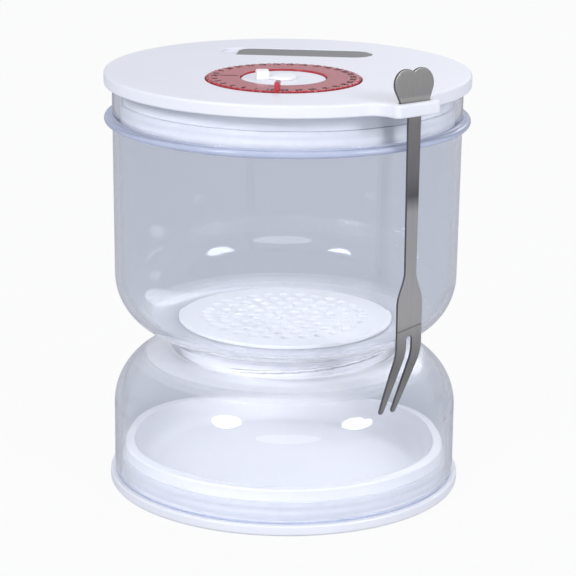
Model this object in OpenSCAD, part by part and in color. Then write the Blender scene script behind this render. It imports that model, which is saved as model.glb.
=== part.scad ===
// Flip-over pickle jar: two clear chambers screwed together at a strainer, with a plug lid, a plug base
// and a fork that hangs in a holder on the lid.
// Millimetres, +Z up, origin at the centre of the face that the jar stands on. The dial faces -Y.

/* [Clear chambers] */
// Outer diameter of both chambers
jar_d = 129; // [116:1:150]
// Thickness of the clear walls
wall = 2.4; // [1.8:0.1:3]
// Height of the lower chamber, from the base plate to the top of its shoulder
lower_h = 48; // [42:1:70]
// Height of the upper chamber, from its underside to its mouth
upper_h = 93.4; // [80:1:130]
// Outer radius of the rounded bends on both sides of the waist
shoulder_r = 22; // [18:1:25]
// How much the upper chamber narrows from its mouth to its bend, on the radius
wall_draft = 0.5; // [0:0.1:1]
// How far the ring below the mouth stands out from the wall
flange_w = 3; // [1.5:0.5:5]
// Thickness of the ring below the mouth
flange_t = 2.4; // [1.6:0.2:5]
// Height of the clear mouth above the ring
mouth_h = 11.5; // [6:0.5:20]

/* [Screwed waist] */
// Height of the threaded collar on the lower chamber
collar_h = 5.5; // [4:0.5:8]
// Thickness of the gasket between the chambers
gasket_t = 1.5; // [1:0.1:3]
// Length of the threaded spigot below the upper chamber
spigot_h = 12; // [10:0.5:14]
// Radial height of the thread ridges
thread_h = 1; // [0.8:0.1:1.4]
// Rise of the thread in one full turn
thread_lead = 12; // [10:0.5:15]
// Number of thread starts
thread_starts = 3; // [2:1:4]

/* [Strainer] */
// Width of the flange that rests on the floor of the upper chamber
strainer_lip = 4.2; // [3:0.1:5]
// Thickness of the perforated plate
strainer_t = 1.6; // [1.2:0.1:2.5]
// Depth of the ring that centres the strainer in the spigot
strainer_skirt = 5; // [3:0.5:8]
// Diameter of the drain holes
drain_d = 4; // [2:0.5:5]
// Distance between rings of drain holes
drain_pitch = 6; // [5.5:0.5:8]

/* [Lid] */
// How far the lid plate reaches past the chamber wall
lid_overhang = 3; // [3:0.5:6]
// Thickness of the lid plate
lid_t = 4.8; // [4.5:0.1:7]
// Radius of the plate's upper edge
lid_edge = 1; // [0.8:0.1:2]
// Depth of the plug below the lid plate
plug_h = 12.5; // [11:0.5:16]
// Thickness of the plug walls
plug_wall = 2.6; // [2:0.1:3.2]
// Height of the silicone seals
seal_h = 6; // [4:0.5:7]

/* [Date dial and vent] */
// Distance of the dial from the centre of the lid
dial_offset = 17.5; // [12:0.5:20]
// Outer diameter of the date ring
dial_d = 55.6; // [48:0.4:58]
// Diameter of the white hub
hub_d = 30.8; // [26:0.4:34]
// How far the ring stands above the lid
dial_rise = 0.5; // [0.3:0.1:2]
// Depth of the round pocket that the dial sits in
pocket_depth = 2.2; // [1.2:0.1:2.8]
// Number of days marked on the ring
day_count = 31; // [12:1:31]
// Diameter of the vent hole
vent_d = 5; // [3:0.5:7]

/* [Grip recess] */
// Length of the pill-shaped recess in the lid
grip_len = 58; // [40:1:64]
// Width of the recess
grip_w = 15; // [10:0.5:18]
// Distance of the recess from the centre of the lid
grip_offset = 36; // [32:0.5:40]
// Length of the end that the inlay leaves open
grip_open = 6.5; // [4:0.5:12]
// Depth of the recess
grip_depth = 1.6; // [1:0.1:2.5]

/* [Fork and its holder] */
// Direction of the fork holder, turned from -Y towards +X
fork_angle = 42; // [20:1:80]
// Distance from the lid's rim to the middle of the fork
fork_out = 4.8; // [4:0.1:6]
// Sheet thickness of the fork
fork_t = 1.2; // [0.8:0.1:1.6]
// Width of the fork's neck at its narrowest
neck_w = 5; // [4:0.1:7]
// Width of the neck where it leaves the holder
neck_top_w = 5.8; // [4:0.1:8]
// Width of the fork's blade
blade_w = 11.2; // [9:0.1:13]
// Width of the heart-shaped head
heart_w = 17.4; // [16:0.2:20]
// Height of the heart-shaped head
heart_h = 11.4; // [11:0.2:16]
// Length of the neck below the top of the holder
neck_len = 71.5; // [60:0.5:80]
// Length of the blade down to the bend
blade_len = 14.5; // [10:0.5:26]
// Length of the bent tines, measured straight down
tine_len = 27; // [24:0.5:34]
// How far the tines sweep sideways at their tips
tine_side = 4; // [0:0.5:5]
// How far the tines bend in towards the waist at their tips
tine_bend = 6.6; // [4:0.2:7]
// Radius of the bend above the tines
tine_bend_r = 25; // [15:1:40]
// How deep the head sits in the top of the holder
head_seat = 0.8; // [0.4:0.1:1.6]
// Backward lean of the head, in degrees
head_lean = 6; // [0:1:20]

/* [Base] */
// How far the base plate reaches past the chamber wall
base_lip = 1.7; // [0.5:0.1:4]
// Thickness of the base plate
base_t = 4; // [3:0.5:8]
// Width of the ring that the jar stands on
foot_w = 7; // [4:0.5:12]
// Height of the plug above the base plate
base_plug_h = 12; // [11:0.5:16]
// Radius of the dish inside the base plug
dish_r = 10; // [6:0.5:10.5]

/* [Clearances] */
// Radial gap between a soft seal and the wall that it meets
seal_gap = 0.3; // [0.2:0.05:0.5]
// Gap between a seal and the bottom of its groove
groove_gap = 0.1; // [0.05:0.05:0.2]
// Radial gap between the two threads
thread_gap = 0.4; // [0.3:0.05:0.6]
// Radial running gap of the date ring on its hub
run_gap = 0.1; // [0.05:0.01:0.2]
// Gap around loose pieces
loose_gap = 0.3; // [0.2:0.05:0.6]
// Gap between the fork and each side of its slot
slot_gap = 0.5; // [0.3:0.05:0.8]

/* [Hidden] */
$fn = 128;

// Overshoot of a cut past the face it opens, and overlap of shapes that form one piece
cut = 1;
sink = 0.5;

// Radii of the chambers and of the waist
jar_r = jar_d / 2;
jar_in = jar_r - wall;
bend_r = jar_r - wall_draft;
bowl_c = bend_r - shoulder_r;
collar_r = jar_r - shoulder_r;
collar_in = collar_r - wall;
spigot_r = collar_in - thread_h - thread_gap;
spigot_in = spigot_r - wall;

// Heights of the stacked pieces
shoulder_z = base_t + lower_h;
collar_z = shoulder_z + collar_h;
bowl_z = collar_z + gasket_t;
floor_z = bowl_z + wall;
mouth_z = bowl_z + upper_h;
lid_z = mouth_z + lid_t;
flange_z = mouth_z - mouth_h - flange_t;

// Threads: one ridge for each start, under the collar's own ridges
ridge_half = 0.7;
ridge_crest = 0.35;
ridge_sink = 0.4;
ridge_steps = 18;
ridge_fade = 3;
ridge_fill = 0.9;
ridge_pitch = thread_lead / thread_starts;
collar_ridge_z = shoulder_z - wall + ridge_half + ridge_pitch / 2 + loose_gap;
spigot_ridge_z = collar_ridge_z - ridge_pitch / 2;
ridge_room = collar_z - loose_gap - ridge_half - collar_ridge_z;
ridge_span = 360 * min(ridge_fill / thread_starts, ridge_room / thread_lead);

// Lid and base plugs with their seals
lid_r = jar_r + lid_overhang;
base_r = jar_r + base_lip;
seal_r = jar_in - seal_gap;
seal_proud = 1.2;
groove = 1.2;
plug_r = seal_r - seal_proud;
plug_in = plug_r - groove - plug_wall;
seal_foot = 1;
seal_lip = 1;
seal_lip_at = 0.27;
base_seal_up = 1.5;
base_seal_z = base_t + base_seal_up;
seam_edge = 0.8;
rim_edge = 0.6;
foot_edge = 1.2;
foot_recess = 1.2;
dish_floor = 2;

// Strainer
skirt_t = 1.6;
drain_margin = 2.6;
strainer_edge = 0.6;

// Dial
dial_r = dial_d / 2;
hub_r = hub_d / 2;
hub_lip = 1.8;
hub_neck = hub_r - hub_lip;
pocket_z = lid_z - pocket_depth;
ring_z = pocket_z + loose_gap;
ring_top = lid_z + dial_rise;
ring_t = ring_top - ring_z;
// The hub's lip lies in a step of the ring, two thirds of its height deep, and a quarter below its top
ring_lip = 2 / 3 * ring_t;
hub_drop = ring_t / 4;
lip_top = ring_top - ring_lip;
hub_top = ring_top - hub_drop;
hub_under = lip_top + loose_gap;
dial_edge = 0.4;
hub_edge = min(dial_edge, (hub_top - hub_under) / 2);
mark_t = 0.2;
mark_len = 2.4;
mark_w = 0.5;
mark_inset = 2;
notch_r = 0.7;
turn_tab = [2, 5, 3.4];
turn_tab_inset = 1.5;
vent_r = vent_d / 2;
vent_rim = 2;
vent_cap_r = vent_r + vent_rim;
vent_cap_t = 1.2;
vent_tail = 1;
vent_tab = [5, 4.7, 3.2];
vent_strap = 5.5;
vent_tab_angle = 191;
leg = [4.4, 1.6];
leg_x = hub_neck * 0.66;
leg_hook = 0.7;
leg_tip = 2.2;
leg_slot = [leg[1] + leg_hook + 2 * loose_gap, leg[0] + 2 * loose_gap];

// Grip inlay: it lies a little below the lid, and one corner of its open end is round
inlay_drop = 0.2;
inlay_gap = 0.1;
inlay_corner = 6;

// Fork
fork_r = lid_r + fork_out;
slot_len = blade_w + 2 * slot_gap;
slot_w = fork_t + 2 * slot_gap;
holder_wall = 2.1;
holder_side = 3.9;
tab_r = fork_r + slot_w / 2 + holder_wall;
tab_half = slot_len / 2 + holder_side;
tab_root = 6;
tab_corner = 2;
tab_fillet = 8;
fork_z = lid_z - head_seat;
tine_reach = [tine_len, tine_bend_r - tine_bend];
tine_turn = atan2(tine_reach[0], tine_reach[1]) - acos(tine_bend_r / norm(tine_reach));
head_catch = 0.4;
head_base = slot_len + 2 * head_catch;
heart_step = 0.9;
heart_lobe = 0.31;
heart_sink = 0.12;
tine_slot = 2.4;
tine_slot_rise = 1.6;
tine_tip = 1.9;
tip_span = 7.4;
tine_taper = 1.4;
tine_steps = 10;
bend_steps = 8;
flare_len = 12;
flare_steps = 8;

// A flat disc of outer radius r from z0 to z1, as a half section with rounded upper and lower outer edges.
module disc_section(r, z0, z1, upper, lower) {
    translate([0, z0]) square([r - lower, z1 - z0 - upper]);
    translate([0, z0 + lower]) square([r - upper, z1 - z0 - lower]);
    translate([0, z0 + lower]) square([r, z1 - z0 - lower - upper]);
    translate([r - upper, z1 - upper]) circle(upper);
    translate([r - lower, z0 + lower]) circle(lower);
}

// A box of a half section between two radii and two heights.
module band(r0, r1, z0, z1) {
    translate([r0, z0]) square([r1 - r0, z1 - z0]);
}

// A quarter of a ring-shaped wall around (c, z), above or below that height.
module bend_section(c, z, up) {
    intersection() {
        translate([c, z]) difference() {
            circle(shoulder_r);
            circle(shoulder_r - wall);
        }
        translate([c, up ? z : z - shoulder_r]) square(shoulder_r);
    }
}

// One thread ridge: a trapezoid carried up a helix that fades into the wall at both ends.
// side is 1 on the outside of a wall and -1 on the inside.
module thread_ridge(r, z, side) {
    root = r - side * ridge_sink;
    points = [for (i = [0:ridge_steps])
        let (a = ridge_span * i / ridge_steps,
             h = z + thread_lead * a / 360,
             fade = min(1, i / ridge_fade, (ridge_steps - i) / ridge_fade),
             crest = r + side * (thread_h * fade - ridge_sink / 2 * (1 - fade)))
        for (p = [[root, -ridge_half], [crest, -ridge_crest], [crest, ridge_crest], [root, ridge_half]])
            [p[0] * cos(a), p[0] * sin(a), h + side * p[1]]];
    sides = [for (i = [0:ridge_steps - 1]) for (k = [0:3])
        let (a = 4 * i + k, b = 4 * i + (k + 1) % 4, c = b + 4, d = a + 4)
        each [[a, b, c], [a, c, d]]];
    last = 4 * ridge_steps;
    ends = [[0, 2, 1], [0, 3, 2], [last, last + 1, last + 2], [last, last + 2, last + 3]];
    polyhedron(points, concat(sides, ends), convexity = 6);
}

module thread_ridges(r, z, side) {
    for (i = [0:thread_starts - 1]) rotate(360 * i / thread_starts) thread_ridge(r, z, side);
}

// A seal ring with two rounded lips, as a half section from the bottom of its groove.
module seal_section(z) {
    band(plug_r - groove + groove_gap, seal_r - seal_lip, z, z + seal_h);
    for (h = [seal_lip_at, 1 - seal_lip_at]) translate([seal_r - seal_lip, z + seal_h * h]) circle(seal_lip);
}

// A pill outline of the given length and width, shrunk by gap on every side.
module pill(length, width, gap) {
    for (x = [-1, 1]) translate([x * (length - width) / 2, 0]) circle(width / 2 - gap);
    square([length - width, width - 2 * gap], center = true);
}

module base_plate() {
    color("white") rotate_extrude() difference() {
        disc_section(base_r, 0, base_t, seam_edge, foot_edge);
        band(0, base_r - foot_edge - foot_w, -cut, foot_recess);
    }
}

module base_plug() {
    top = base_t + base_plug_h;
    dish_c = plug_in - dish_r;
    dish_z = base_t + dish_floor + dish_r;
    color("white") rotate_extrude() difference() {
        disc_section(plug_r, base_t, top, rim_edge, rim_edge);
        band(plug_r - groove, plug_r + cut, base_seal_z, base_seal_z + seal_h);
        band(-cut, dish_c, base_t + dish_floor, top + cut);
        translate([dish_c, dish_z]) intersection() {
            circle(dish_r);
            translate([0, -dish_r]) square([dish_r, dish_r]);
        }
        band(0, dish_c + dish_r, dish_z, dish_z + base_plug_h);
        difference() {
            band(dish_c, plug_r - groove - dish_floor, base_t - cut, dish_z);
            translate([dish_c, dish_z]) circle(dish_r + dish_floor);
        }
    }
}

module base_seal() {
    color("gainsboro") rotate_extrude() seal_section(base_seal_z);
}

module lower_jar() {
    color("lightsteelblue", 0.4) {
        rotate_extrude() {
            band(jar_in, jar_r, base_t, shoulder_z - shoulder_r);
            bend_section(collar_r, shoulder_z - shoulder_r, true);
            band(collar_in, collar_r, shoulder_z - wall, collar_z);
        }
        thread_ridges(collar_in, collar_ridge_z, -1);
    }
}

module waist_gasket() {
    color("gainsboro") rotate_extrude() band(spigot_r + loose_gap, collar_r - loose_gap, collar_z, bowl_z);
}

module upper_jar() {
    color("lightsteelblue", 0.4) {
        rotate_extrude() {
            band(spigot_in, spigot_r, bowl_z - spigot_h, floor_z);
            band(spigot_in, bowl_c, bowl_z, floor_z);
            bend_section(bowl_c, bowl_z + shoulder_r, false);
            polygon([[bend_r - wall, bowl_z + shoulder_r], [bend_r, bowl_z + shoulder_r],
                     [jar_r, mouth_z], [jar_in, mouth_z]]);
            band(jar_in + wall / 2, jar_r + flange_w - flange_t / 2, flange_z, flange_z + flange_t);
            translate([jar_r + flange_w - flange_t / 2, flange_z + flange_t / 2]) circle(flange_t / 2);
        }
        thread_ridges(spigot_r, spigot_ridge_z, 1);
    }
}

module strainer() {
    flange_r = spigot_in + strainer_lip;
    skirt_r = spigot_in - loose_gap;
    rings = floor((skirt_r - drain_margin - drain_d / 2) / drain_pitch);
    color("white") difference() {
        rotate_extrude() {
            disc_section(flange_r, floor_z, floor_z + strainer_t, strainer_edge, strainer_edge / 2);
            band(skirt_r - skirt_t, skirt_r, floor_z - strainer_skirt, floor_z + strainer_t / 2);
        }
        for (k = [0:rings], i = [0:max(6 * k, 1) - 1])
            rotate(360 * i / max(6 * k, 1)) translate([k * drain_pitch, 0, floor_z - cut])
                cylinder(d = drain_d, h = strainer_t + 2 * cut);
    }
}

// The fork holder's outline on the lid, along +X: a tab with round corners that fillets into the rim.
module holder_outline() {
    centre_y = tab_half + tab_fillet;
    centre_x = sqrt(pow(lid_r + tab_fillet, 2) - pow(centre_y, 2));
    on_rim = lid_r / (lid_r + tab_fillet);
    inner = centre_x * on_rim - tab_root;
    translate([inner, -tab_half]) square([tab_r - tab_corner - inner, 2 * tab_half]);
    translate([inner, tab_corner - tab_half]) square([tab_r - inner, 2 * (tab_half - tab_corner)]);
    for (s = [-1, 1]) {
        translate([tab_r - tab_corner, s * (tab_half - tab_corner)]) circle(tab_corner);
        difference() {
            polygon([[inner, s * tab_half], [centre_x, s * tab_half], [centre_x, s * centre_y],
                     [centre_x * on_rim, s * centre_y * on_rim], [inner, s * centre_y * on_rim]]);
            translate([centre_x, s * centre_y]) circle(tab_fillet);
        }
    }
}

module lid_plate() {
    color("white") difference() {
        union() {
            rotate_extrude() disc_section(lid_r, mouth_z, lid_z, lid_edge, seam_edge);
            rotate(fork_angle - 90) translate([0, 0, mouth_z]) linear_extrude(lid_t) holder_outline();
        }
        rotate(fork_angle - 90) translate([fork_r - slot_w / 2, -slot_len / 2, mouth_z - cut])
            cube([slot_w, slot_len, lid_t + 2 * cut]);
        rotate(fork_angle - 90) translate([fork_r - slot_w / 2, -head_base / 2 - slot_gap, fork_z])
            cube([slot_w, head_base + 2 * slot_gap, head_seat + cut]);
        translate([0, -dial_offset, pocket_z]) cylinder(r = dial_r + 2 * loose_gap, h = pocket_depth + cut);
        translate([0, -dial_offset, mouth_z - cut]) {
            cylinder(d = vent_d, h = lid_t + 2 * cut);
            for (s = [-1, 1]) translate([s * (leg_x - leg_hook / 2), 0, lid_t / 2 + cut])
                cube([leg_slot[0], leg_slot[1], lid_t + 2 * cut], center = true);
        }
        translate([0, grip_offset, lid_z - grip_depth]) linear_extrude(grip_depth + cut)
            pill(grip_len, grip_w, 0);
    }
}

module lid_plug() {
    foot = mouth_z - plug_h;
    color("white") rotate_extrude() difference() {
        band(plug_in, plug_r, foot, mouth_z);
        band(plug_r - groove, plug_r + cut, foot + seal_foot, foot + seal_foot + seal_h);
    }
}

module lid_seal() {
    color("gainsboro") rotate_extrude() seal_section(mouth_z - plug_h + seal_foot);
}

module grip_inlay() {
    end_x = grip_open - grip_len / 2;
    color("gray") translate([0, grip_offset, lid_z - grip_depth]) linear_extrude(grip_depth - inlay_drop)
        intersection() {
            pill(grip_len, grip_w, inlay_gap);
            union() {
                translate([end_x + inlay_corner, -grip_w]) square([grip_len, 2 * grip_w]);
                translate([end_x, -grip_w]) square([grip_len, 1.5 * grip_w - inlay_corner]);
                translate([end_x + inlay_corner, grip_w / 2 - inlay_corner]) circle(inlay_corner);
            }
        }
}

module dial_hub() {
    color("white") translate([0, -dial_offset, 0]) difference() {
        union() {
            rotate_extrude() {
                band(0, hub_neck, pocket_z, (hub_under + hub_top) / 2);
                disc_section(hub_r, hub_under, hub_top, hub_edge, hub_edge / 2);
            }
            for (s = [-1, 1]) {
                translate([s * leg_x - leg[1] / 2, -leg[0] / 2, mouth_z - leg_tip])
                    cube([leg[1], leg[0], pocket_z - mouth_z + leg_tip + sink]);
                translate([s * (leg_x + leg_hook / 2), 0, mouth_z - (leg_tip + loose_gap) / 2])
                    cube([leg[1] + leg_hook, leg[0], leg_tip - loose_gap], center = true);
            }
        }
        translate([0, 0, mouth_z]) cylinder(d = vent_d, h = hub_top);
    }
}

module date_ring() {
    color("indianred", 0.8) translate([0, -dial_offset, 0]) {
        difference() {
            rotate_extrude() {
                band(hub_neck + run_gap, dial_r, ring_z, lip_top);
                band(hub_r + loose_gap, dial_r, ring_z, ring_top);
            }
            for (i = [0:2 * day_count - 1]) rotate(180 * i / day_count) translate([dial_r, 0, ring_z - cut])
                cylinder(r = notch_r, h = ring_top - ring_z + 2 * cut);
        }
        translate([0, turn_tab[1] / 2 + turn_tab_inset - dial_r, ring_top - sink]) {
            translate([0, 0, (turn_tab[2] - turn_tab[0] / 2) / 2])
                cube([turn_tab[0], turn_tab[1], turn_tab[2] - turn_tab[0] / 2], center = true);
            translate([0, 0, turn_tab[2] - turn_tab[0] / 2]) rotate([90, 0, 0])
                cylinder(d = turn_tab[0], h = turn_tab[1], center = true);
        }
    }
}

module day_marks() {
    color("maroon") translate([0, -dial_offset, ring_top]) for (i = [0:day_count - 1])
        rotate(360 * (i + 0.5) / day_count) translate([-mark_w / 2, mark_inset - dial_r, 0])
            cube([mark_w, mark_len, mark_t]);
}

module vent_plug() {
    tab_x = vent_cap_r + vent_strap;
    color("whitesmoke") translate([0, -dial_offset, 0]) {
        rotate_extrude() {
            disc_section(vent_cap_r, hub_top, hub_top + vent_cap_t, dial_edge, dial_edge / 2);
            disc_section(vent_r - run_gap, mouth_z - vent_tail, hub_top + sink, dial_edge, dial_edge);
        }
        rotate(vent_tab_angle) {
            translate([0, -vent_tab[0] / 2, hub_top]) cube([tab_x, vent_tab[0], vent_cap_t]);
            translate([tab_x - vent_tab[1], -vent_tab[0] / 2, hub_top])
                cube([vent_tab[1], vent_tab[0], vent_tab[2]]);
        }
    }
}

// Rows of the fork's outline: how far down from its seat, where its middle lies and half its width.
function shank_rows() = concat([[-sink, 0, neck_top_w / 2]],
    [for (i = [0:flare_steps]) let (s = i / flare_steps)
        [neck_len - flare_len * (1 - s), 0, (neck_w + (blade_w - neck_w) * (1 - cos(180 * s)) / 2) / 2]]);

// How far the tines have come in at share s of their length: along the arc, then along its tangent.
function tine_in(s) =
    let (down = tine_len * max(s, 0), a = min(asin(min(down / tine_bend_r, 1)), tine_turn))
    tine_bend_r * (1 - cos(a)) + (down - tine_bend_r * sin(a)) * tan(a);

// Sideways sweep of the tines' middle line, in step with the bend.
function tine_mid(s) = -tine_side * tine_in(s) / tine_bend;

// Rows between two half widths, from share s0 to share s1 of the tines' length.
function tine_rows(s0, s1, half0, half1) =
    [for (i = [0:tine_steps]) let (share = i / tine_steps, s = s0 + (s1 - s0) * share)
        [neck_len + blade_len + tine_len * s, tine_mid(s), half0 + (half1 - half0) * pow(share, tine_taper)]];

// The outline that rows give: Y along the width, X down. Its upper end is square, or a half circle.
module row_outline(rows, round_top) {
    first = rows[0];
    right = [for (row = rows) [row[0], row[1] + row[2]]];
    left = [for (i = [len(rows) - 1:-1:0]) [rows[i][0], rows[i][1] - rows[i][2]]];
    arc = [for (i = [1:tine_steps - 1]) let (a = 180 * i / tine_steps - 90)
        [first[0] - first[2] * cos(a), first[1] + first[2] * sin(a)]];
    polygon(concat(right, left, round_top ? arc : []));
}

// One face of the sheet seen edge on, X outwards and Y up: straight, an arc inwards, then along its tangent.
function bend_point(out, a) =
    (tine_bend_r + out) * [cos(a), -sin(a)] - [tine_bend_r, neck_len + blade_len];
function sheet_side(out) = concat([[out, sink]],
    [for (i = [0:bend_steps]) bend_point(out, tine_turn * i / bend_steps)],
    [bend_point(out, tine_turn) - 2 * tine_len * [sin(tine_turn), cos(tine_turn)]]);

// The bent sheet, wider than the fork.
module sheet() {
    inner = sheet_side(-fork_t / 2);
    rotate([90, 0, 0]) linear_extrude(2 * blade_w, center = true)
        polygon(concat(sheet_side(fork_t / 2), [for (i = [len(inner) - 1:-1:0]) inner[i]]));
}

// The heart: two round lobes over sides that draw in to the base, X along the width and Y up.
module heart_outline() {
    lobe = heart_w * heart_lobe;
    centre = [heart_w / 2 - lobe, heart_h - lobe];
    lean = atan2(heart_w / 2 - head_base / 2, centre[1]);
    side = centre + (lobe - heart_sink) * [cos(lean), -sin(lean)];
    for (s = [-1, 1]) translate([s * centre[0], centre[1]]) circle(lobe);
    polygon([[-head_base / 2, 0], [head_base / 2, 0], side, [0, centre[1] + lobe / 2], [-side[0], side[1]]]);
}

module fork() {
    color("gray") rotate(fork_angle - 90) translate([fork_r, 0, fork_z]) {
        intersection() {
            sheet();
            rotate([0, 90, 0]) linear_extrude(2 * tine_bend_r, center = true) difference() {
                row_outline(concat(shank_rows(), tine_rows(0, 1, blade_w / 2, tip_span / 2)), false);
                row_outline(tine_rows(-tine_slot_rise / tine_len, 1 + cut / tine_len, tine_slot / 2,
                                      tip_span / 2 - tine_tip), true);
            }
        }
        translate([-fork_t / 2, -head_base / 2, 0]) cube([fork_t, head_base, heart_step]);
        translate([0, 0, heart_step - sink / 2]) rotate([90 - head_lean, 0, 90])
            translate([0, 0, -fork_t / 2]) linear_extrude(fork_t) heart_outline();
    }
}

base_plate();
base_plug();
base_seal();
lower_jar();
waist_gasket();
upper_jar();
strainer();
lid_plate();
lid_plug();
lid_seal();
grip_inlay();
dial_hub();
date_ring();
day_marks();
vent_plug();
fork();
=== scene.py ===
import math

import bmesh
import bpy
import numpy as np
from mathutils import Matrix, Vector
from mathutils.geometry import delaunay_2d_cdt


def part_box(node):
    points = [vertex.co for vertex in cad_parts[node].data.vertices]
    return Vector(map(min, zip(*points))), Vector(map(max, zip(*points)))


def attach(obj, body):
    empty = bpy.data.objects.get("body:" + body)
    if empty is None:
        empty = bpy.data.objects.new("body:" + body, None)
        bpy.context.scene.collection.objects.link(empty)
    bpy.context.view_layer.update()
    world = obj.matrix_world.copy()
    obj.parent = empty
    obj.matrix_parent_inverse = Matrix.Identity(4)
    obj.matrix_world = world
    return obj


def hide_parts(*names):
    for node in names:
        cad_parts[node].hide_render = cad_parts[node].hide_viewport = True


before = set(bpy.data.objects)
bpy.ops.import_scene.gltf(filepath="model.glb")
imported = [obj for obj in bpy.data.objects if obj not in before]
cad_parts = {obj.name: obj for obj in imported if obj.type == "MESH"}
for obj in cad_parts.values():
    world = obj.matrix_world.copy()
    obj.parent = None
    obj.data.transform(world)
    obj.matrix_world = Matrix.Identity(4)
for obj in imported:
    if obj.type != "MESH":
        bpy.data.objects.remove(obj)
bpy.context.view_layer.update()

mm = 0.001  # pieces are drawn in millimetres and put into the meshes in metres
hair = 0.02  # mm, keeps the faces of two pieces from lying in one plane
weldMm = 0.001  # points closer than this become one
longRow = 6  # mm, the longest step along a plain turned profile
print("frame loaded:", len(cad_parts), "nodes")


# drawing helpers

def cadMm(node):  # lowest and highest corner of a CAD node, in millimetres
    low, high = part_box(node)
    return np.array(low) / mm, np.array(high) / mm


def arc(cx, cy, radius, start, end, steps):  # points of a circle's arc, angles in degrees
    a = np.radians(np.linspace(start, end, steps + 1))
    return np.stack([cx + radius * np.cos(a), cy + radius * np.sin(a)], 1)


def circle(radius, steps, centre=(0, 0)):  # a closed loop of points
    return arc(0, 0, radius, 0, 360, steps)[:-1] + np.array(centre)


def roundCorner(x, z, radius, start, steps=3):  # a quarter arc in the corner at (x, z), from that angle on
    cx = x - radius if start in (0, 270) else x + radius
    cz = z + radius if start in (180, 270) else z - radius
    return arc(cx, cz, radius, start, start + 90, steps)


def path(*stretches):  # joins arcs and single points into one line
    return np.concatenate([np.atleast_2d(s) for s in stretches]).astype(float)


def fine(line, longest, closed=True):  # adds points until no stretch is longer than that
    ends = np.roll(line, -1, 0) if closed else line[1:]
    starts = line if closed else line[:-1]
    counts = np.maximum(1, np.ceil(np.linalg.norm(ends - starts, axis=1) / longest)).astype(int)
    which = np.repeat(np.arange(len(starts)), counts)
    share = np.arange(counts.sum()) - np.repeat(np.cumsum(counts) - counts, counts)
    dense = starts[which] + (ends - starts)[which] * (share / counts[which])[:, None]
    return dense if closed else np.concatenate([dense, line[-1:]])


def gridFaces(rows, cols, closed):  # quads of a grid whose columns run round; closed rows wrap as well
    i = np.arange(rows if closed else rows - 1)[:, None]
    j = np.arange(cols)[None, :]
    k = (j + 1) % cols
    below = (i + 1) % rows
    return np.stack([i * cols + j, i * cols + k, below * cols + k, below * cols + j], -1).reshape(-1, 4)


# A turned piece: the profile (r, z) runs counter-clockwise and is carried round the axis.
# bulge(r, z, angle) adds to the radius, which is how threads and knurls are raised.
def turned(profile, steps=256, closed=True, centre=(0, 0), bulge=None):
    angle = np.linspace(0, 2 * np.pi, steps, endpoint=False)[None, :]
    r, z = profile[:, :1], np.repeat(profile[:, 1:], steps, 1)
    r = r + (bulge(r, z, angle) if bulge else 0 * angle)
    verts = np.stack([centre[0] + r * np.cos(angle), centre[1] + r * np.sin(angle), z], -1).reshape(-1, 3)
    return verts, gridFaces(len(profile), steps, closed)


def inset(loop, depth):  # a closed loop moved inwards by depth, with mitred corners
    side = np.roll(loop, -1, 0) - loop
    side /= np.linalg.norm(side, axis=1, keepdims=True)
    before = np.roll(side, 1, 0)
    normal = np.stack([-side[:, 1] - before[:, 1], side[:, 0] + before[:, 0]], 1)
    normal /= np.maximum(np.linalg.norm(normal, axis=1, keepdims=True), 1e-9)
    cosine = -normal[:, :1] * side[:, 1:] + normal[:, 1:] * side[:, :1]
    return loop + normal * depth / np.maximum(cosine, 0.5)  # the mitre reaches at most twice the depth


def wall(loop, rows):  # a wall round a loop: each row is (inset, z)
    verts = np.concatenate([np.c_[inset(loop, d), np.full(len(loop), z)] for d, z in rows])
    return verts, gridFaces(len(rows), len(loop), False)


def inside(points, loop):  # even-odd rule: an odd number of crossings to the right is inside
    a, b = loop[None], np.roll(loop, -1, 0)[None]
    p = points[:, None]
    spans = (a[..., 1] > p[..., 1]) != (b[..., 1] > p[..., 1])
    rise = np.where(b[..., 1] == a[..., 1], 1, b[..., 1] - a[..., 1])
    cross = a[..., 0] + (p[..., 1] - a[..., 1]) / rise * (b[..., 0] - a[..., 0])
    return (spans & (p[..., 0] < cross)).sum(1) % 2 == 1


# A flat cap between an outer loop and its holes: the triangles within the loop, without those in the holes.
def cap(loops, z, spare=None):
    points = np.concatenate(loops + ([] if spare is None else [spare]))
    firsts = np.cumsum([0] + [len(loop) for loop in loops])
    edges = [np.c_[np.arange(len(p)), np.roll(np.arange(len(p)), -1)] + f for p, f in zip(loops, firsts)]
    found = delaunay_2d_cdt([Vector(p) for p in points], np.concatenate(edges).tolist(), [], 1, 1e-6)
    flat, triangles = np.array(found[0]), np.array(found[2])
    middle = flat[triangles].mean(1)
    keep = np.ones(len(triangles), bool)
    for hole in loops[1:]:
        keep &= ~inside(middle, hole)
    return np.c_[flat, np.full(len(flat), z)], triangles[keep]


def roundEdge(bottom, top, low, high, steps=5):  # rows (inset, z) of a wall with round lower and upper edges
    lower = arc(low, bottom + low, low, 270, 180, steps) if low else [[0, bottom]]
    upper = arc(high, top - high, high, 180, 90, steps) if high else [[0, top]]
    return path(lower, upper)


def slab(outline, bottom, top, low, high):  # a plate: a wall with round edges between two caps
    caps = [cap([inset(outline, edge)], z) for z, edge in ((bottom, low), (top, high))]
    return [wall(outline, roundEdge(bottom, top, low, high))] + caps


def oblong(length, width, corner, centre=(0, 0), steps=6):  # a rectangle with round corners
    x, y = length / 2 - corner, width / 2 - corner
    corners = [arc(sx * x, sy * y, corner, a, a + 90, steps)
               for sx, sy, a in ((1, 1, 0), (-1, 1, 90), (-1, -1, 180), (1, -1, 270))]
    return path(*corners) + np.array(centre)


def spun(points, degrees):  # turns x and y of points about the vertical axis
    a = math.radians(degrees)
    turn = np.array([[math.cos(a), math.sin(a)], [-math.sin(a), math.cos(a)]])
    moved = np.array(points, float)
    moved[:, :2] = moved[:, :2] @ turn
    return moved


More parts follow.
